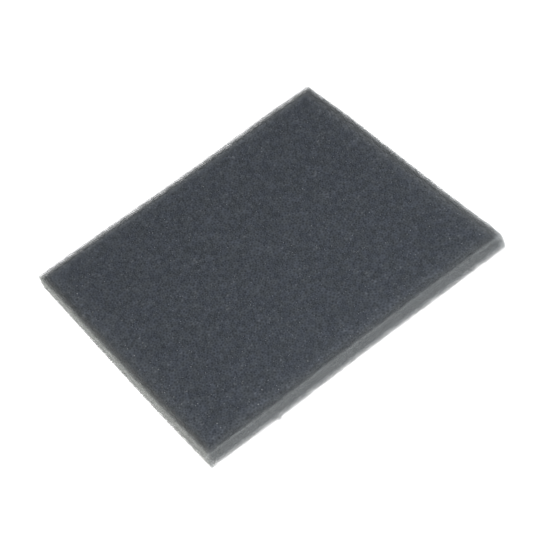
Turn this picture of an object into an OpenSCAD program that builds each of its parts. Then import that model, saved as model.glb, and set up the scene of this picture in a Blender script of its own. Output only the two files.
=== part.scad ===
// Foam air filter pad: one flat piece of open-cell foam, cut from sheet.
// Millimetres, +Z up. The origin is the middle of the face the pad lies on.
// +X runs along the long side, +Y along the short side.

/* [Pad] */
// Length of the long side
pad_length = 110; // [60:1:220]
// Length of the short side
pad_width = 100; // [50:1:200]
// Thickness of the foam sheet the pad is cut from
pad_thickness = 6; // [3:0.5:25]

/* [Corners] */
// Radius of the three crisp cut corners, seen from above
crisp_corner_radius = 0.5; // [0.2:0.1:4]
// Radius of the softened corner at the front right, seen from above
soft_corner_radius = 1.5; // [0.2:0.1:6]

/* [Hidden] */
$fn = 48;
half_length = pad_length / 2;
half_width = pad_width / 2;
foam_color = [0.26, 0.28, 0.30];

// One corner of the outline as [side of X, side of Y, radius], anticlockwise
corners = [
    [1, -1, soft_corner_radius],
    [1, 1, crisp_corner_radius],
    [-1, 1, crisp_corner_radius],
    [-1, -1, crisp_corner_radius]
];

// The point of an outline corner, moved in by dx and dy
function corner_point(corner, dx, dy) = [
    corner[0] * (half_length - dx),
    corner[1] * (half_width - dy)
];

// The two ends of a corner's arc, in anticlockwise order
function arc_ends(corner) = corner[0] * corner[1] > 0
    ? [corner_point(corner, 0, corner[2]), corner_point(corner, corner[2], 0)]
    : [corner_point(corner, corner[2], 0), corner_point(corner, 0, corner[2])];

// The cut outline: straight sides between the arc ends, with a round in each corner
module pad_outline() {
    polygon([for (corner = corners) for (point = arc_ends(corner)) point]);
    for (corner = corners)
        translate(corner_point(corner, corner[2], corner[2]))
            circle(r = corner[2]);
}

module foam_pad() {
    color(foam_color)
        linear_extrude(height = pad_thickness)
            pad_outline();
}

foam_pad();
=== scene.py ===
import math

import bpy
import numpy as np
from mathutils import Euler, Matrix, Vector
from mathutils.geometry import delaunay_2d_cdt


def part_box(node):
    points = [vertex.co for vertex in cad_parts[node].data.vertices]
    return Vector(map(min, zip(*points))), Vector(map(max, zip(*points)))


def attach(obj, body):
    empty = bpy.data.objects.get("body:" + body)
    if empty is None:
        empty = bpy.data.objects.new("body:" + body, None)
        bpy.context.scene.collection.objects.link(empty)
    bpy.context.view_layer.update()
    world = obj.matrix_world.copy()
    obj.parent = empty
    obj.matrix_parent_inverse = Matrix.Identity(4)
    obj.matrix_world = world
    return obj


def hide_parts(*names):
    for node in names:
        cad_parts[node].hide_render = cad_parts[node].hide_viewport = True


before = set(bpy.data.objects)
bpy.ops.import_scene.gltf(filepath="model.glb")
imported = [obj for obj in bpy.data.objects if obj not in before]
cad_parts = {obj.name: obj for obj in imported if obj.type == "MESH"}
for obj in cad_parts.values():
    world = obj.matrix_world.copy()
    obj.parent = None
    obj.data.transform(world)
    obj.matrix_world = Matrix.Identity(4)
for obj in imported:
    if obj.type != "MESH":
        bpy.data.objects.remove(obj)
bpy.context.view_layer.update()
MM = 0.001

# The pad's box in millimetres, with the middle of its underside at 0, 0, 0.
pad_low, pad_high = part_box("foam_pad")
HALF_X = (pad_high.x - pad_low.x) / 2 / MM
HALF_Y = (pad_high.y - pad_low.y) / 2 / MM
THICKNESS = (pad_high.z - pad_low.z) / MM
PAD_CENTRE = (pad_low + pad_high) / 2

# ---------------------------------------------------------------- camera

CAMERA_AZIMUTH = -19.58  # degrees round the pad; 0 looks along +Y
CAMERA_ELEVATION = 46.17  # degrees above the horizon
CAMERA_ROLL = -21.79  # degrees that the camera is tipped about its line of sight
CAMERA_DISTANCE = 0.5714  # metres
CAMERA_LENS = 122.4  # millimetres
SENSOR_WIDTH = 36.0  # millimetres
CAMERA_CLIP = (0.01, 50.0)  # metres, nearest and furthest
AIM_OFFSET = Vector((-0.00096, -0.00718, 0.0))  # metres, from the pad's middle


def make_camera():
    azimuth = math.radians(CAMERA_AZIMUTH)
    elevation = math.radians(CAMERA_ELEVATION)
    back = Vector((
        math.sin(azimuth) * math.cos(elevation),
        -math.cos(azimuth) * math.cos(elevation),
        math.sin(elevation),
    ))
    data = bpy.data.cameras.new("camera")
    data.lens = CAMERA_LENS
    data.sensor_width = SENSOR_WIDTH
    data.clip_start, data.clip_end = CAMERA_CLIP
    camera = bpy.data.objects.new("camera", data)
    bpy.context.scene.collection.objects.link(camera)
    turn = (-back).to_track_quat("-Z", "Y").to_matrix().to_4x4()
    roll = Matrix.Rotation(math.radians(CAMERA_ROLL), 4, "Z")
    place = Matrix.Translation(PAD_CENTRE + AIM_OFFSET + back * CAMERA_DISTANCE)
    camera.matrix_world = place @ turn @ roll
    bpy.context.scene.camera = camera


# ---------------------------------------------------------------- how the pad was cut
# Everything below is in millimetres until mesh_object, which turns it into metres.

CUT_POWER = 6  # how fast the shape of a cut dies away inside the pad
FLARE_LEFT = (0.10, 0.70)  # how far the foot of the left cut stands out, at its back and at its front
FLARE_FRONT = (0.25, 0.62)  # at its left and at its right
# Fine waves along the cuts: size, radians from the middle of a cut to its end, and phase at its middle.
WAVES_LEFT_RIGHT = [(0.040, 3.1, 0.6), (0.024, 7.3, 2.1), (0.014, 17.0, 0.0)]
WAVES_FRONT_BACK = [(0.040, 2.7, 1.9), (0.024, 8.1, 0.3), (0.014, 19.0, 0.0)]
# Where a cut wanders from straight: place along it, half its length, how far outward.
WANDER_LEFT = [(-8, 28, 0.50)]
WANDER_RIGHT = [(50, 9, -0.20), (25, 10, 0.24), (-25, 12, -0.12), (-46, 6, 0.12)]
WANDER_FRONT = [(-31, 13, 0.38)]
WANDER_BACK = [(-28, 9, -0.15), (-2, 14, -0.42), (38, 7, 0.45)]
SAG_FRONT_RIGHT = 0.5  # how far the worn corner is rolled down
SAG_REACH = 2.5  # how far from the corner that is felt
SWELL_HEIGHT = 0.06  # of the top's slow swell
SWELL_WAVES = [(4.1, 0.4), (3.7, 1.0)]  # along X and Y: radians from the middle to a cut, and phase


def wander(along, bumps):
    return sum(out * np.exp(-((along - place) / reach) ** 2 / 2) for place, reach, out in bumps)


def waves(share, sizes):
    return sum(size * np.sin(share * turn + phase) for size, turn, phase in sizes)


def cut_shape(points):
    """Moves points of the plain box to where the hand-cut sheet has them."""
    x, y, z = points.T
    u, v, w = x / HALF_X, y / HALF_Y, z / THICKNESS
    near_x, near_y = np.abs(u) ** CUT_POWER, np.abs(v) ** CUT_POWER
    left, right = (u < 0) * near_x, (u > 0) * near_x
    front, back = (v < 0) * near_y, (v > 0) * near_y
    flare_left = (1 - w) * (FLARE_LEFT[0] * (1 + v) + FLARE_LEFT[1] * (1 - v)) / 2
    flare_front = (1 - w) * (FLARE_FRONT[0] * (1 - u) + FLARE_FRONT[1] * (1 + u)) / 2
    moved_x = x + near_x * waves(v, WAVES_LEFT_RIGHT)
    moved_x += right * wander(y, WANDER_RIGHT) - left * (wander(y, WANDER_LEFT) + flare_left)
    moved_y = y + near_y * waves(u, WAVES_FRONT_BACK)
    moved_y += back * wander(x, WANDER_BACK) - front * (wander(x, WANDER_FRONT) + flare_front)
    corner = np.exp(-((x - HALF_X) ** 2 + (y + HALF_Y) ** 2) / (2 * SAG_REACH**2))
    (turn_x, phase_x), (turn_y, phase_y) = SWELL_WAVES
    swell = SWELL_HEIGHT * np.sin(u * turn_x + phase_x) * np.sin(v * turn_y + phase_y)
    moved_z = z + w * (swell - SAG_FRONT_RIGHT * corner)
    return np.column_stack([moved_x, moved_y, moved_z])


def cut_distances(points):
    """How far points are from the left, right, front and back cut."""
    x, y = points[:, 0], points[:, 1]
    return np.stack([HALF_X + x, HALF_X - x, HALF_Y + y, HALF_Y - y])


def cut_depth(points):
    """How far inside the nearest cut points are."""
    return np.maximum(cut_distances(points).min(axis=0), 0)


# At the left, right, front and back cut: how much paler the foam is made, partly the cut foam's own colour
# and partly painted light coming in through the cut, set for each cut; how deep that reaches, how softly it
# ends.
PALE_LIT_SHARE = np.array([0.58, 1.0, 0.42, 0.99])
PALE_LIT_DEPTH = np.array([1.6, 2.2, 1.9, 2.3])
PALE_LIT_BLEND = np.array([0.6, 0.5, 0.6, 0.6])
PALE_LIT_BODY = 0.75  # of that, what the body under the web has
PALE_LIT_HAZE = (0.14, 2.6)  # a fainter, deeper lightening, painted light reaching in from the cuts: its share at the cuts and how deep it reaches
PAINTED_CUT_TOP_LIGHT = (0.86, 4.8, 0.3)  # painted light along the top of a cut: the share that the lower part keeps, the height where the lighter top starts, and how softly it ends


def soft_step(value):
    """1 where value is well below 0 and 0 where it is well above."""
    return 1 / (1 + np.exp(value))


def paleness(points, share_of_rims=1.0):
    """How much paler the foam is made: most at the cuts, where the struts are broken and light comes in
    sideways, so partly the cut foam's own colour and partly painted light, lightest along the tops of the
    cuts.
    """
    distances = cut_distances(points)
    rims = PALE_LIT_SHARE[:, None] * soft_step((distances - PALE_LIT_DEPTH[:, None]) / PALE_LIT_BLEND[:, None])
    foot, height, blend = PAINTED_CUT_TOP_LIGHT
    rims *= foot + (1 - foot) * soft_step((height - points[:, 2]) / blend)
    share, reach = PALE_LIT_HAZE
    haze = share * np.exp(-distances.min(axis=0) / reach)
    return np.minimum(share_of_rims * rims.max(axis=0) + haze, 1)


# ---------------------------------------------------------------- the body, covered in open cells

BODY_SEEDS = (7, 11)  # for where the cells are, and for how each one looks
CORNER_RADIUS = 0.5
CORNER_STEPS = 6
SAME_POINT = 1e-9  # points nearer together than this count as one
CELL = 0.95  # distance between neighbouring cells
CELL_AREA = CELL**2 * math.sqrt(3) / 2
CELL_INSET = 0.5 * CELL  # random cells start no nearer to a rim
RIM_JITTER = 0.3  # how unevenly the cells of a rim are spaced, as a share of their distance
STRIP_OVERLAP = 8 * CELL  # the unrolled strip repeats this much of itself at both ends
RELAX_ROUNDS = 2
PIT_DEPTH = (0.20, 0.62)  # shallowest and deepest cell
RIDGE_LIFT = (-0.12, 0.06)  # how far ridges are moved outward
DRAWN_BACK = (1.0, 0.3)  # how far the body's top and underside draw back at its rim, under the web
SLOPE_REACH = 0.9  # how far in from the rim that slope reaches
RIM_SHAKE = 0.4  # how unevenly the body ends under the web
SHAKEN_DEPTH = 0.3  # cells nearer than this to the body's rim are shaken
SCRAPS = 3200  # bits of cell wall on the ridges, made bright with a painted highlight
SCRAP_LENGTH = 0.30
SCRAP_WIDTH = (0.13, 0.26)
SCRAP_PAINTED_GLINT = (0.05, 0.55)
# The scraps' light colour adds to their painted highlight.
SCRAP_TONE = 0.8
PIT_TONE_AND_SHADE = (0.11, 0.47)  # darkest and lightest, where 0 and 1 are the ends of the foam's colours; pits are kept darker than ridges, painted shade in the hollows
# Ridges are kept lighter than pits, painted light on the crests, with a random spread.
RIDGE_TONE_AND_LIGHT = (0.55, 1.0)
PAINTED_GLINT_RIDGES = (0.035, 0.02, 0.09)  # the share of ridges with a painted highlight, and the least and most of it
EDGE_INSET = 1.35  # the body stops this far inside the cuts, and the web of struts takes over
TOP_INSET = 0.05  # the body's flat faces lie this far inside the pad's


def outline_points(half_x, half_y):
    """The pad seen from above, anticlockwise from the front right corner."""
    points = []
    corners = [(1, -1, -90), (1, 1, 0), (-1, 1, 90), (-1, -1, 180)]
    for side_x, side_y, start in corners:
        for step in range(CORNER_STEPS + 1):
            angle = math.radians(start + 90 * step / CORNER_STEPS)
            points.append((
                side_x * (half_x - CORNER_RADIUS) + CORNER_RADIUS * math.cos(angle),
                side_y * (half_y - CORNER_RADIUS) + CORNER_RADIUS * math.sin(angle),
            ))
    return np.array(points)


class Outline:
    """A closed outline that can be walked by distance."""

    def __init__(self, points):
        self.closed = np.vstack([points, points[:1]])
        steps = np.linalg.norm(np.diff(self.closed, axis=0), axis=1)
        self.at = np.concatenate([[0.0], np.cumsum(steps)])
        self.length = self.at[-1]

    def point(self, distance):
        distance = np.mod(distance, self.length)
        return np.column_stack([np.interp(distance, self.at, self.closed[:, k]) for k in (0, 1)])


def triangulate(points):
    """Delaunay triangles of points in a plane, anticlockwise."""
    made = delaunay_2d_cdt([Vector(p) for p in points], [], [], 0, SAME_POINT)
    original = np.array([source[0] for source in made[3]])
    return original[np.array(made[2])]


def middles(points, net):
    """For each point, the middle of the triangles that meet there."""
    corners = points[net]
    side_a, side_b = corners[:, 1] - corners[:, 0], corners[:, 2] - corners[:, 0]
    area = np.abs(side_a[:, 0] * side_b[:, 1] - side_a[:, 1] * side_b[:, 0])
    centre = corners.mean(axis=1)
    total, weight = np.zeros_like(points), np.zeros(len(points))
    for k in range(3):
        np.add.at(total, net[:, k], centre * area[:, None])
        np.add.at(weight, net[:, k], area)
    return total / weight[:, None]


def face_cells(rim, half_x, half_y, rng):
    """Cells of a flat face: its rim, and random ones inside it, evenly spread."""
    count = round(4 * half_x * half_y / CELL_AREA)
    field = rng.uniform(-1, 1, (count, 2)) * (half_x - CELL_INSET, half_y - CELL_INSET)
    for _ in range(RELAX_ROUNDS):
        points = np.vstack([rim, field])
        field = middles(points, triangulate(points))[len(rim):]
    points = np.vstack([rim, field])
    return points, triangulate(points)


def strip_cells(low_rim, high_rim, length, height, rng):
    """Cells of the four cuts, unrolled to a strip that closes on itself."""
    count = round(length * height / CELL_AREA) - len(low_rim)
    rims = np.vstack([
        np.column_stack([low_rim, np.zeros(len(low_rim))]),
        np.column_stack([high_rim, np.full(len(high_rim), height)]),
    ])
    field = np.column_stack([
        rng.uniform(0, length, count),
        rng.uniform(CELL_INSET, height - CELL_INSET, count),
    ])
    for _ in range(RELAX_ROUNDS + 1):
        points = np.vstack([rims, field])
        points[:, 0] = np.mod(points[:, 0], length)
        after, before = points[:, 0] < STRIP_OVERLAP, points[:, 0] > length - STRIP_OVERLAP
        wide = np.vstack([points, points[after] + (length, 0), points[before] - (length, 0)])
        ids = np.arange(len(points))
        wide_ids = np.concatenate([ids, ids[after], ids[before]])
        net = triangulate(wide)
        field = middles(wide, net)[len(rims):len(points)]
    at = wide[net].mean(axis=1)[:, 0]
    net = wide_ids[net[(at >= 0) & (at < length)]]
    return points, net


def body_cells(half_x, half_y, bottom, top):
    """Cell centres all over the body, and the closed net of triangles that joins them."""
    rng = np.random.default_rng(BODY_SEEDS[0])
    outline = Outline(outline_points(half_x, half_y))
    count = round(outline.length / CELL)
    gap = outline.length / count
    rims = [(np.arange(count) + rng.uniform(-RIM_JITTER, RIM_JITTER, count)) * gap for _ in range(2)]
    low, low_net = face_cells(outline.point(rims[0]), half_x, half_y, rng)
    high, high_net = face_cells(outline.point(rims[1]), half_x, half_y, rng)
    strip, strip_net = strip_cells(rims[0], rims[1], outline.length, top - bottom, rng)
    side = strip[2 * count:]
    # the strip's rims are the faces' rims
    ids = np.concatenate([
        np.arange(count),
        len(low) + np.arange(count),
        len(low) + len(high) + np.arange(len(side)),
    ])
    points = np.vstack([
        np.column_stack([low, np.full(len(low), bottom)]),
        np.column_stack([high, np.full(len(high), top)]),
        np.column_stack([outline.point(side[:, 0]), bottom + side[:, 1]]),
    ])
    net = np.vstack([low_net[:, ::-1], high_net + len(low), ids[strip_net]])
    return points, net


def point_normals(points, net):
    """Which way is outward at each point."""
    corners = points[net]
    face = np.cross(corners[:, 1] - corners[:, 0], corners[:, 2] - corners[:, 0])
    normals = np.zeros_like(points)
    for k in range(3):
        np.add.at(normals, net[:, k], face)
    return normals / np.linalg.norm(normals, axis=1)[:, None]


def open_cells(points, net):
    """Each cell becomes a fan from its centre to the corners that it shares with its neighbours."""
    count = len(points)
    start = net.ravel()
    end = np.roll(net, -1, axis=1).ravel()
    face = np.repeat(np.arange(len(net)), 3)
    key = start * count + end
    order = np.argsort(key)
    twin = order[np.searchsorted(key[order], end * count + start)]
    return np.column_stack([start, count + face[twin], count + face])


def body_heights(depth):
    """The heights of the body's underside and top at a depth inside the cuts."""
    slope = np.exp(-(depth - EDGE_INSET) / SLOPE_REACH)
    return TOP_INSET + DRAWN_BACK[1] * slope, THICKNESS - TOP_INSET - DRAWN_BACK[0] * slope


def shake_rim(points, rng):
    """Moves the cells round the body inward, each by its own amount."""
    distances = cut_distances(points)
    cut = distances.argmin(axis=0)
    inward = np.array([(1, 0, 0), (-1, 0, 0), (0, 1, 0), (0, -1, 0)])[cut]
    shaken = distances.min(axis=0) < EDGE_INSET + SHAKEN_DEPTH
    moved = shaken * rng.uniform(0, RIM_SHAKE, len(points))
    return points + inward * moved[:, None]


def scraps(ridges, rng):
    """Closed slivers standing on some of the ridges."""
    start = ridges[rng.choice(len(ridges), SCRAPS, replace=False)]
    aim = rng.normal(size=start.shape)
    end = start + SCRAP_LENGTH * aim / np.linalg.norm(aim, axis=1)[:, None]
    return slivers(start, end, rng.uniform(*SCRAP_WIDTH, SCRAPS), rng)


def under_web(points):
    """Draws the body's top and underside back towards its rim, where the web covers it."""
    underside, top = body_heights(cut_depth(points))
    share = (points[:, 2] - TOP_INSET) / (THICKNESS - 2 * TOP_INSET)
    height = np.clip(underside + share * (top - underside), 0.0, THICKNESS)
    return np.column_stack([points[:, :2], height])


def make_body(material):
    centres, net = body_cells(
        HALF_X - EDGE_INSET, HALF_Y - EDGE_INSET, TOP_INSET, THICKNESS - TOP_INSET
    )
    rng = np.random.default_rng(BODY_SEEDS[1])
    centres = shake_rim(centres, rng)
    normals = point_normals(centres, net)
    pits = centres - normals * rng.uniform(*PIT_DEPTH, len(centres))[:, None]
    lift = rng.uniform(*RIDGE_LIFT, len(net))
    ridges = centres[net].mean(axis=1) + normals[net].mean(axis=1) * lift[:, None]
    # Pits get darker tones than ridges: painted shade in the hollows and painted light on the crests, each
    # with a random spread.
    pit_tone = rng.uniform(*PIT_TONE_AND_SHADE, len(pits))
    ridge_tone = rng.uniform(*RIDGE_TONE_AND_LIGHT, len(ridges))
    scrap_points, scrap_faces = scraps(ridges, rng)
    # Painted highlights on the scraps and on a few ridges.
    scrap_glint = np.repeat(rng.uniform(*SCRAP_PAINTED_GLINT, SCRAPS), SLIVER_POINTS)
    share, least, most = PAINTED_GLINT_RIDGES
    ridge_glint = (rng.uniform(0, 1, len(ridges)) < share) * rng.uniform(least, most, len(ridges))
    faces = np.vstack([open_cells(centres, net), scrap_faces + len(pits) + len(ridges)])
    points = under_web(np.vstack([pits, ridges, scrap_points]))
    return mesh_object(
        "foam_body", points, faces, material,
        tone=np.concatenate([pit_tone, ridge_tone, np.full(len(scrap_points), SCRAP_TONE)]),
        glint=np.concatenate([np.zeros(len(pits)), ridge_glint, scrap_glint]),
        pale=paleness(points, PALE_LIT_BODY),
    )


# ---------------------------------------------------------------- the web of struts along the cuts

WEB_SEED = 20  # and one more for each web
WEB_CELL = 0.70  # width of one cube of the lattice that the web's cells start from
WEB_DEPTH = 3.3  # how far the web reaches in from the cut, over and under the rim of the body
WEB_OVERLAP = 0.05  # how far it reaches into the body
WEB_MARGIN = 1.6  # struts are made this far past a web's box, because the drift moves them
WEB_BLOCKS = 7  # a web's long box is filled in this many steps, which saves memory
TILT = np.array(Euler((0.52, 0.31, 0.67)).to_matrix())  # of the lattice
DRIFT = 0.16  # size of the slow wander that hides the lattice, in waves for X, Y and Z
DRIFT_WAVES = np.array([  # radians per millimetre along X, Y and Z, and phase
    [(0.7, 1.9, 0.0, 0.0), (1.1, 0.0, 2.3, 1.0)],
    [(1.7, 0.0, 0.0, 2.0), (0.0, -0.9, 2.1, 0.0)],
    [(1.5, 0.0, 0.0, 0.5), (1.1, 1.3, 0.0, 0.0)],
])
WEB_SHAKE = 0.065  # how far each corner of the lattice is moved at random
SHAKE_SALT = 1.7
STRUT_WIDTH = (0.071, 0.125)
STRUT_TONE = (0.1, 0.9)
RAGGED = 0.03  # how unevenly the blade left the strut ends at the cuts
TOP_RAGGED = (0.06, 0.18)  # how far below the top strut ends stop
FOOT_RAGGED = (0.0, 0.08)  # how far above the underside they stop
SHORTEST_STRUT = 0.03  # shorter ones are left out
NUB = (-31.3, 0.8, 0.6, 1.4)  # a torn bit at the front cut's foot: place along X, reach, half width, height
HASH = np.array([[12.9898, 78.233, 37.719], [39.346, 11.135, 83.155], [73.156, 52.235, 9.151]])
HASH_SCALE = 43758.5453
CUBE = 4  # lattice units along one cube of the lattice
STRUT_STEPS = np.array([(1, 1, 0), (1, -1, 0), (1, 0, 1), (1, 0, -1), (0, 1, 1), (0, 1, -1)])
SLIVER_POINTS = 4
SLIVER_FACES = np.array([[0, 1, 2], [1, 0, 3], [2, 3, 0], [3, 2, 1]])


def scatter(lattice, salt):
    """Three repeatable random numbers from -1 to 1 for each lattice point."""
    mixed = np.sin(lattice @ HASH + salt) * HASH_SCALE
    return 2 * (mixed - np.floor(mixed)) - 1


def is_corner(lattice):
    """Where packed fourteen-sided cells, four lattice units wide, have their corners."""
    place = np.mod(lattice, CUBE)
    kinds = (place == 0, place == CUBE // 2, place % 2 == 1)
    return np.all([kind.sum(axis=1) == 1 for kind in kinds], axis=0)


def grid_points(spans):
    """Every point of a grid with the given numbers along X, Y and Z."""
    return np.stack(np.meshgrid(*spans, indexing="ij"), axis=-1).reshape(-1, 3)


def unit_struts():
    """The ends of the struts that one cube of the lattice repeats."""
    grid = grid_points([np.arange(CUBE)] * 3)
    corners = grid[is_corner(grid)]
    start = np.repeat(corners, len(STRUT_STEPS), axis=0)
    end = start + np.tile(STRUT_STEPS, (len(corners), 1))
    joined = is_corner(end)
    return start[joined], end[joined]


def drift(points):
    """How far the slow wander moves points."""
    turns = np.einsum("pk,awk->paw", points, DRIFT_WAVES[:, :, :3]) + DRIFT_WAVES[:, :, 3]
    return DRIFT * np.sin(turns).sum(axis=2)


def lattice_cubes(low, high):
    """The cubes of the tilted lattice whose middles are in a box."""
    reach = grid_points(np.column_stack([low, high])) @ TILT / WEB_CELL
    first, last = np.floor(reach.min(axis=0)) - 1, np.ceil(reach.max(axis=0)) + 1
    cubes = grid_points([np.arange(*ends, dtype=int) for ends in zip(first, last)])
    middle = (cubes + 0.5) * WEB_CELL @ TILT.T
    return cubes[((middle >= low) & (middle < high)).all(axis=1)]


def packed_struts(low, high):
    """The struts of the foam in a long box, as two arrays of ends."""
    low, high = low - WEB_MARGIN, high + WEB_MARGIN
    axis = int(np.argmax(high - low))
    marks = np.linspace(low[axis], high[axis], WEB_BLOCKS + 1)
    cubes = []
    for near, far in zip(marks[:-1], marks[1:]):
        block_low, block_high = low.copy(), high.copy()
        block_low[axis], block_high[axis] = near, far
        cubes.append(lattice_cubes(block_low, block_high))
    placed = []
    for ends in unit_struts():
        corner = (CUBE * np.vstack(cubes)[:, None] + ends).reshape(-1, 3)
        at = corner * (WEB_CELL / CUBE) @ TILT.T
        placed.append(at + WEB_SHAKE * scatter(corner, SHAKE_SALT) + drift(at))
    return placed


def trim(start, end, normal, limit):
    """Cuts struts off at the plane normal . point = limit; each strut may have its own limit."""
    normal = np.array(normal, float)
    over_start, over_end = start @ normal - limit, end @ normal - limit
    keep = (over_start < 0) | (over_end < 0)
    share = over_start / np.where(over_start == over_end, 1, over_start - over_end)
    cut = start + (end - start) * share[:, None]
    start = np.where((over_start > 0)[:, None], cut, start)
    end = np.where((over_end > 0)[:, None], cut, end)
    return start[keep], end[keep]


def torn_nub(points):
    """How far the torn bit lets struts reach past the front cut."""
    place, reach, half_width, height = NUB
    beside = (points[:, 0] - place) / half_width
    return reach * np.exp(-beside**2) * (points[:, 2] < height)


def slivers(start, end, width, rng):
    """Closed four-sided slivers from start to end: an edge across at one end, an edge up at the other."""
    along = end - start
    across = np.cross(along, rng.normal(size=along.shape))
    across /= np.linalg.norm(across, axis=1)[:, None]
    upward = np.cross(along, across)
    upward /= np.linalg.norm(upward, axis=1)[:, None]
    half = width[:, None] / 2
    corners = [start - half * across, start + half * across, end - half * upward, end + half * upward]
    points = np.stack(corners, axis=1).reshape(-1, 3)
    faces = (np.arange(len(start))[:, None, None] * SLIVER_POINTS + SLIVER_FACES).reshape(-1, 3)
    return points, faces


def web_box(cut, half_cut):
    """The box of half a cut's web."""
    low = np.array([-HALF_X, -HALF_Y, 0.0])
    high = np.array([HALF_X, HALF_Y, THICKNESS])
    across, along = cut // 2, 1 - cut // 2
    if cut % 2:
        low[across] = high[across] - WEB_DEPTH
    else:
        high[across] = low[across] + WEB_DEPTH
    (low if half_cut else high)[along] = 0
    return low, high


def trim_to_pad(start, end, rng):
    """Cuts the struts off at the pad's four cuts, its top and its underside."""
    for plane, half in enumerate([HALF_X, HALF_Y]):
        for sign in (-1, 1):
            normal = np.zeros(3)
            normal[plane] = sign
            limit = half + rng.uniform(-1, 1, len(start)) * RAGGED
            if (plane, sign) == (1, -1):
                limit += torn_nub((start + end) / 2)
            start, end = trim(start, end, normal, limit)
    start, end = trim(start, end, (0, 0, 1), THICKNESS - rng.uniform(*TOP_RAGGED, len(start)))
    return trim(start, end, (0, 0, -1), -rng.uniform(*FOOT_RAGGED, len(start)))


def shown_struts(start, end, cut, half_cut):
    """Which struts belong to this half of this cut and lie outside the body."""
    middle = (start + end) / 2
    distances = cut_distances(middle)
    depth = distances.min(axis=0)
    underside, top = body_heights(depth)
    shown = depth < EDGE_INSET + RIM_SHAKE + WEB_OVERLAP
    shown |= (middle[:, 2] > top - WEB_OVERLAP) | (middle[:, 2] < underside + WEB_OVERLAP)
    shown &= (distances.argmin(axis=0) == cut) & (depth < WEB_DEPTH)
    shown &= (middle[:, 1 - cut // 2] > 0) == bool(half_cut)
    return shown & (np.linalg.norm(end - start, axis=1) > SHORTEST_STRUT)


def make_web(name, cut, half_cut, material):
    """The struts of half a cut: cuts 0 to 3 are left, right, front and back, and the halves are 0 and 1."""
    rng = np.random.default_rng(WEB_SEED + 2 * cut + half_cut)
    start, end = trim_to_pad(*packed_struts(*web_box(cut, half_cut)), rng)
    shown = shown_struts(start, end, cut, half_cut)
    start, end = start[shown], end[shown]
    points, faces = slivers(start, end, rng.uniform(*STRUT_WIDTH, len(start)), rng)
    points[:, 2] = np.clip(points[:, 2], 0.0, THICKNESS)
    tone = np.repeat(rng.uniform(*STRUT_TONE, len(start)), SLIVER_POINTS)
    return mesh_object(
        name, points, faces, material,
        tone=tone, glint=np.zeros(len(points)), pale=paleness(points),
    )


# ---------------------------------------------------------------- meshes

def mesh_object(name, points, triangles, material, **values):
    """Makes a piece from points in millimetres, with values at its vertices that its material reads."""
    placed = (cut_shape(points) * MM + (PAD_CENTRE.x, PAD_CENTRE.y, pad_low.z)).astype(np.float32)
    mesh = bpy.data.meshes.new(name)
    mesh.vertices.add(len(placed))
    mesh.vertices.foreach_set("co", placed.ravel())
    mesh.loops.add(triangles.size)
    mesh.loops.foreach_set("vertex_index", triangles.astype(np.int32).ravel())
    mesh.polygons.add(len(triangles))
    mesh.polygons.foreach_set("loop_start", np.arange(0, triangles.size, 3, dtype=np.int32))
    mesh.update(calc_edges=True)
    for label, value in values.items():
        attribute = mesh.attributes.new(label, "FLOAT", "POINT")
        attribute.data.foreach_set("value", value.astype(np.float32))
    mesh.materials.append(material)
    piece = bpy.data.objects.new(name, mesh)
    bpy.context.scene.collection.objects.link(piece)
    return piece


# ---------------------------------------------------------------- materials

# Colours of the foam from its darkest pits to its lightest struts: inside, where they drift from blue to
# grey, and at the cuts. The dark ends, given to the pits, are painted shade in the hollows.
BLUE_FOAM = (0.0050, 0.0073, 0.0112), (0.0531, 0.0635, 0.0823)
GREY_FOAM = (0.0053, 0.0076, 0.0102), (0.0541, 0.0639, 0.0774)
# Paler colours at the cuts: partly the cut foam's own colour, partly painted light.
PALE_LIT_FOAM = (0.068, 0.077, 0.082), (0.47, 0.50, 0.52)
# The light colour that painted highlights mix toward, on the scraps and some ridges.
PAINTED_GLINT_COLOUR = (0.55, 0.57, 0.60)
PATCHES = 400.0  # noise scale of the drift from blue to grey
PATCH_CONTRAST = (0.4, 0.6)  # the noise values that are all blue and all grey
FINE_GRAIN = 5000.0  # noise scale of the roughness and the bumps
NOISE_DETAIL = 2.0
FOAM_ROUGHNESS = (0.45, 0.85)
BUMP_STRENGTH = 0.5
BUMP_HEIGHT = 0.05 * MM
FOAM_SPECULAR = 0.35
MIX_FIRST, MIX_SECOND, MIX_RESULT = 6, 7, 2  # the Mix node's colour sockets


def vertex_value(tree, name):
    node = tree.nodes.new("ShaderNodeAttribute")
    node.attribute_name = name
    return node.outputs["Fac"]


def ramp(tree, factor, colours):
    node = tree.nodes.new("ShaderNodeValToRGB")
    for element, colour in zip(node.color_ramp.elements, colours):
        element.color = (*colour, 1)
    tree.links.new(factor, node.inputs["Fac"])
    return node.outputs["Color"]


def mix(tree, factor, first, second):
    node = tree.nodes.new("ShaderNodeMix")
    node.data_type = "RGBA"
    tree.links.new(factor, node.inputs["Factor"])
    for socket, value in ((node.inputs[MIX_FIRST], first), (node.inputs[MIX_SECOND], second)):
        if isinstance(value, tuple):
            socket.default_value = (*value, 1)
        else:
            tree.links.new(value, socket)
    return node.outputs[MIX_RESULT]


def noise(tree, scale):
    """Noise fixed to the pad, whose grains are about 1 / scale metres."""
    place = tree.nodes.new("ShaderNodeTexCoord")
    node = tree.nodes.new("ShaderNodeTexNoise")
    node.inputs["Scale"].default_value = scale
    node.inputs["Detail"].default_value = NOISE_DETAIL
    tree.links.new(place.outputs["Object"], node.inputs["Vector"])
    return node.outputs["Fac"]


def map_range(tree, factor, end, limits):
    """Stretches a factor from, or to, the two limits; end is From or To, and the other end stays 0 to 1."""
    node = tree.nodes.new("ShaderNodeMapRange")
    node.inputs[f"{end} Min"].default_value, node.inputs[f"{end} Max"].default_value = limits
    tree.links.new(factor, node.inputs["Value"])
    return node.outputs["Result"]


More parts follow.
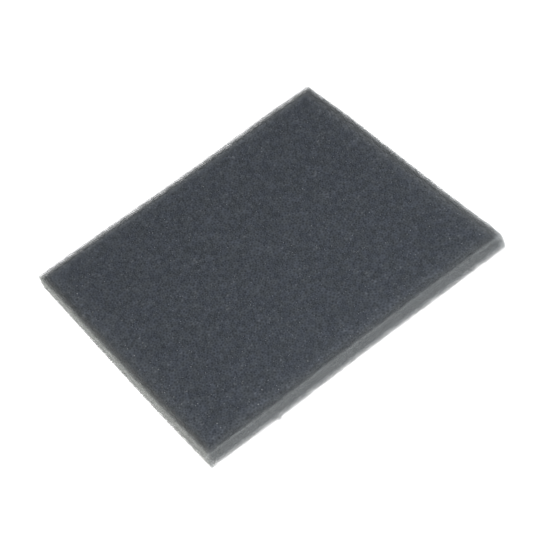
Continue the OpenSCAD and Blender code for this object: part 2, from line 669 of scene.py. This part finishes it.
def foam_colour(tree):
    """Dark pits and light struts, uneven from cell to cell, paler at the cuts, with bright scraps: the
    pits' darkness is painted shade and the ridges' lightness painted light, the paler cuts are partly
    painted light, and the bright scraps and some ridges carry painted glints.
    """
    tone = vertex_value(tree, "tone")
    patches = map_range(tree, noise(tree, PATCHES), "From", PATCH_CONTRAST)
    deep = mix(tree, patches, ramp(tree, tone, BLUE_FOAM), ramp(tree, tone, GREY_FOAM))
    # Paler toward the cuts: partly the cut foam's own colour, partly painted light.
    colour = mix(tree, vertex_value(tree, "pale"), deep, ramp(tree, tone, PALE_LIT_FOAM))
    # Painted highlights: scraps and some ridges are mixed toward a light colour.
    return mix(tree, vertex_value(tree, "glint"), colour, PAINTED_GLINT_COLOUR)


def foam_material():
    material = bpy.data.materials.new("filter_foam")
    material.use_nodes = True
    tree = material.node_tree
    shader = tree.nodes["Principled BSDF"]
    shader.inputs["Specular IOR Level"].default_value = FOAM_SPECULAR
    tree.links.new(foam_colour(tree), shader.inputs["Base Color"])
    fine = noise(tree, FINE_GRAIN)
    roughness = map_range(tree, fine, "To", FOAM_ROUGHNESS)
    tree.links.new(roughness, shader.inputs["Roughness"])
    bump = tree.nodes.new("ShaderNodeBump")
    bump.inputs["Strength"].default_value = BUMP_STRENGTH
    bump.inputs["Distance"].default_value = BUMP_HEIGHT
    tree.links.new(fine, bump.inputs["Height"])
    tree.links.new(bump.outputs["Normal"], shader.inputs["Normal"])
    return material


# ---------------------------------------------------------------- stage and light

FLOOR_HALF = 12.0  # metres
FLOOR_GLOW = 0.9
FLOOR_WHITE = 0.4
FLOOR_ROUGHNESS = 0.9
WORLD_STRENGTH = 1.0


def make_stage():
    mesh = bpy.data.meshes.new("floor")
    corners = [(-1, -1), (1, -1), (1, 1), (-1, 1)]
    points = [(x * FLOOR_HALF, y * FLOOR_HALF, pad_low.z) for x, y in corners]
    mesh.from_pydata(points, [], [(0, 1, 2, 3)])
    floor = bpy.data.objects.new("floor", mesh)
    bpy.context.scene.collection.objects.link(floor)
    paper = bpy.data.materials.new("white_light_table")
    paper.use_nodes = True
    shader = paper.node_tree.nodes["Principled BSDF"]
    shader.inputs["Base Color"].default_value = (FLOOR_WHITE, FLOOR_WHITE, FLOOR_WHITE, 1)
    shader.inputs["Roughness"].default_value = FLOOR_ROUGHNESS
    shader.inputs["Emission Color"].default_value = (1, 1, 1, 1)
    shader.inputs["Emission Strength"].default_value = FLOOR_GLOW
    mesh.materials.append(paper)


# Two low strips that light the cuts and not the top, and a soft light above: size and place in metres,
# power in watts and colour.
LIGHTS = {
    "low_left": ((0.7, 0.004), (-0.62, -0.20, 0.003), 15.0, (1.0, 0.94, 0.82)),
    "low_front": ((0.7, 0.004), (0.15, -0.65, 0.003), 6.5, (1.0, 1.0, 1.0)),
    "soft_above": ((0.15, 0.15), (0.0, -0.17, 0.13), 0.20, (1.0, 1.0, 1.0)),
}


def make_lights():
    for name, (size, place, power, colour) in LIGHTS.items():
        data = bpy.data.lights.new(name, "AREA")
        data.shape = "RECTANGLE"
        data.size, data.size_y = size
        data.energy = power
        data.color = colour
        light = bpy.data.objects.new(name, data)
        bpy.context.scene.collection.objects.link(light)
        light.location = place
        light.rotation_mode = "QUATERNION"
        light.rotation_quaternion = (PAD_CENTRE - Vector(place)).to_track_quat("-Z", "Y")
        light.visible_camera = False


def make_world():
    world = bpy.data.worlds.new("studio")
    world.use_nodes = True
    background = world.node_tree.nodes["Background"]
    background.inputs["Color"].default_value = (1, 1, 1, 1)
    background.inputs["Strength"].default_value = WORLD_STRENGTH
    bpy.context.scene.world = world
    bpy.context.scene.view_settings.view_transform = "Standard"


# ---------------------------------------------------------------- the scene

make_camera()
make_world()
make_stage()
make_lights()
foam = foam_material()
body = make_body(foam)
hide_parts("foam_pad")
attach(body, "root")
for cut, side in enumerate(["left", "right", "front", "back"]):
    for half_cut in (0, 1):
        web = make_web(f"edge_web_{side}_{half_cut + 1}", cut, half_cut, foam)
        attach(web, "root")
